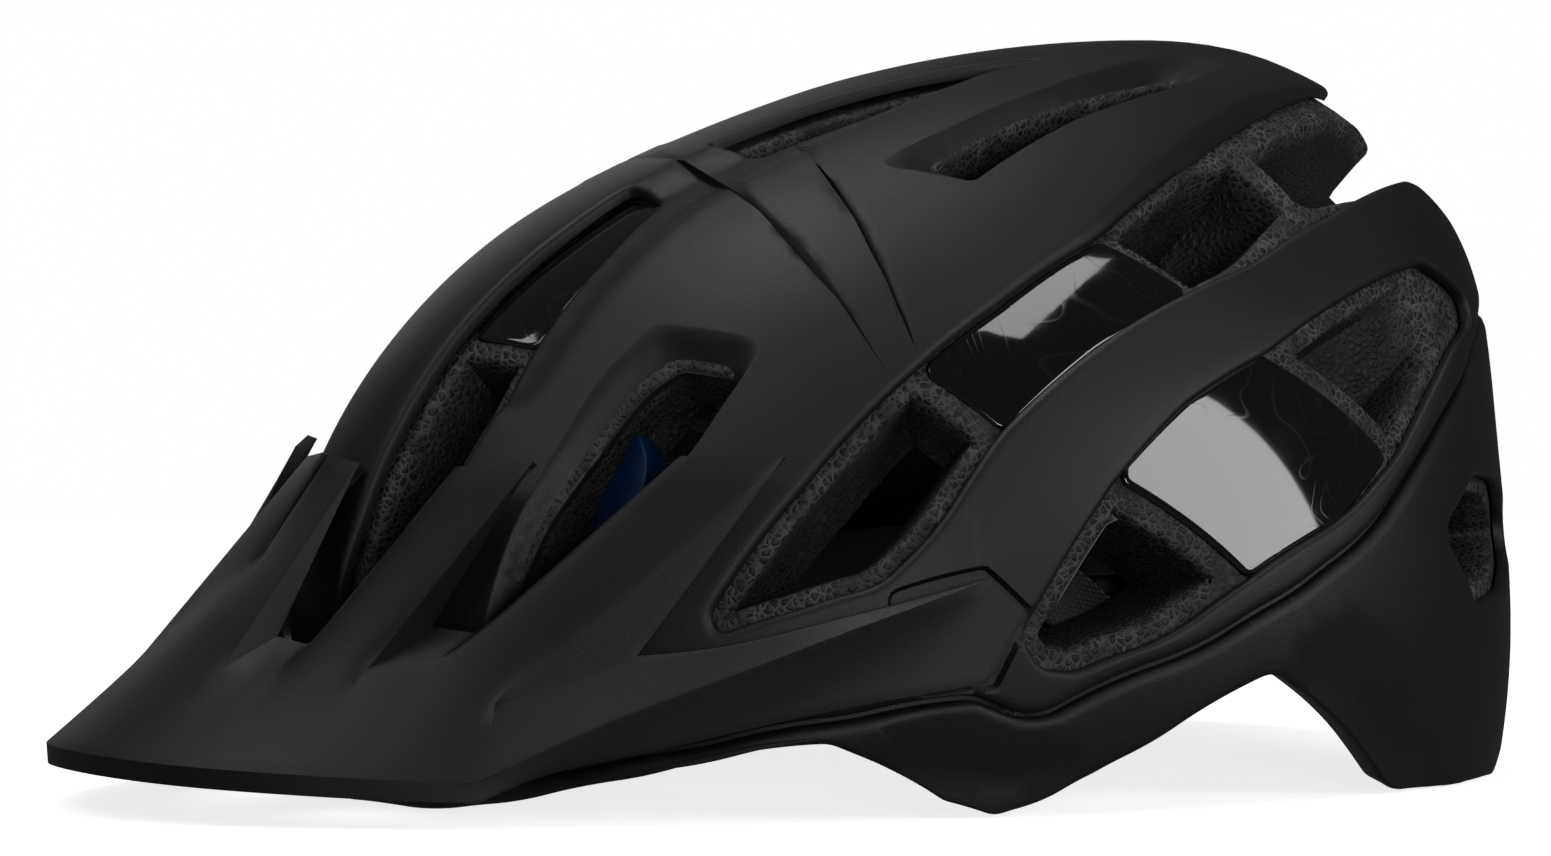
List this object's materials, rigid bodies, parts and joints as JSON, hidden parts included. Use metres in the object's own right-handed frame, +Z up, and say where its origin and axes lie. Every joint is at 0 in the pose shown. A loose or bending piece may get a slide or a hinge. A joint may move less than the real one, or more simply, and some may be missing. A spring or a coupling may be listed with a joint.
{
  "type": "cycling helmet",
  "caption": "Mountain bike half-shell helmet: moulded shell over bead foam, wide vents with gloss panels, tilting fingered visor, dial fit system, pads and webbing straps.",
  "frame": {"origin": "centre of the object's box on the plane it rests on", "axes": "+Z up; the rider faces -Y; the rider's left is +X"},
  "size_m": [0.2134, 0.3346, 0.1604],
  "materials": {
    "matte_shell": "matte black with a fine grain",
    "gloss_panel": "polished black with faint contour lines",
    "foam": "dark grey moulded bead foam",
    "elastomer": "satin blue elastomer",
    "buckle_plastic": "satin black",
    "webbing": "woven",
    "pad_cloth": "brushed knit over foam",
    "fit_plastic": "satin black"
  },
  "bodies": {
    "helmet": {"band_anchor_left": "fit_plastic", "band_anchor_right": "fit_plastic", "brow_pad": "pad_cloth", "buckle_socket": "buckle_plastic", "crown_pad_left": "pad_cloth", "crown_pad_right": "pad_cloth", "eps_liner": "foam", "front_panel_left": "gloss_panel", "front_panel_right": "gloss_panel", "lower_shell": "matte_shell", "side_pad_left": "pad_cloth", "side_pad_right": "pad_cloth", "side_panel_left": "gloss_panel", "side_panel_right": "gloss_panel", "strap_chin_left": "webbing", "strap_chin_right": "webbing", "strap_divider_left": "buckle_plastic", "strap_divider_right": "buckle_plastic", "strap_front_left": "webbing", "strap_front_right": "webbing", "strap_rear_left": "webbing", "strap_rear_right": "webbing", "turbine_1_left": "elastomer", "turbine_1_right": "elastomer", "turbine_2_left": "elastomer", "turbine_2_right": "elastomer", "turbine_3_left": "elastomer", "turbine_3_right": "elastomer", "turbine_4_left": "elastomer", "turbine_4_right": "elastomer", "upper_shell": "matte_shell", "visor_stud_left": "fit_plastic", "visor_stud_right": "fit_plastic", "window_panel_left": "gloss_panel", "window_panel_right": "gloss_panel"},
    "visor": {"visor": "matte_shell"},
    "cradle": {"carriage": "fit_plastic", "carriage_cover": "fit_plastic", "band_left": "fit_plastic", "band_right": "fit_plastic", "nape_pad": "pad_cloth"},
    "dial": {"dial": "fit_plastic"},
    "rack_left": {"rack_left": "fit_plastic"},
    "rack_right": {"rack_right": "fit_plastic"},
    "tongue": {"buckle_tongue": "buckle_plastic"}
  },
  "joints": [
    {"name": "visor_tilt", "type": "hinge", "parent": "helmet", "child": "visor", "pos_m": [0, -0.00475, 0.04], "axis": [-1, 0, 0], "range_deg": [0, 12]},
    {"name": "cradle_tilt", "type": "hinge", "parent": "helmet", "child": "cradle", "pos_m": [0, -0.00035, 0.0214], "axis": [1, 0, 0], "range_deg": [-3, 4]},
    {"name": "dial_turn", "type": "hinge", "parent": "cradle", "child": "dial", "pos_m": [0, 0.12125, 0.042], "axis": [0, 1, 0], "range_deg": [-110, 110]},
    {"name": "rack_left_slide", "type": "slide", "parent": "cradle", "child": "rack_left", "axis": [1, 0, 0], "range_m": [-0.0078, 0.0078]},
    {"name": "rack_right_slide", "type": "slide", "parent": "cradle", "child": "rack_right", "axis": [-1, 0, 0], "range_m": [-0.008, 0.008]},
    {"name": "buckle_release", "type": "slide", "parent": "helmet", "child": "tongue", "axis": [-1, 0, 0], "range_m": [0, 0.015]}
  ],
  "couplings": [
    {"joint": "dial_turn", "follows": "rack_left_slide", "rad_per_m": 243.9},
    {"joint": "rack_right_slide", "follows": "rack_left_slide", "ratio": 1}
  ]
}
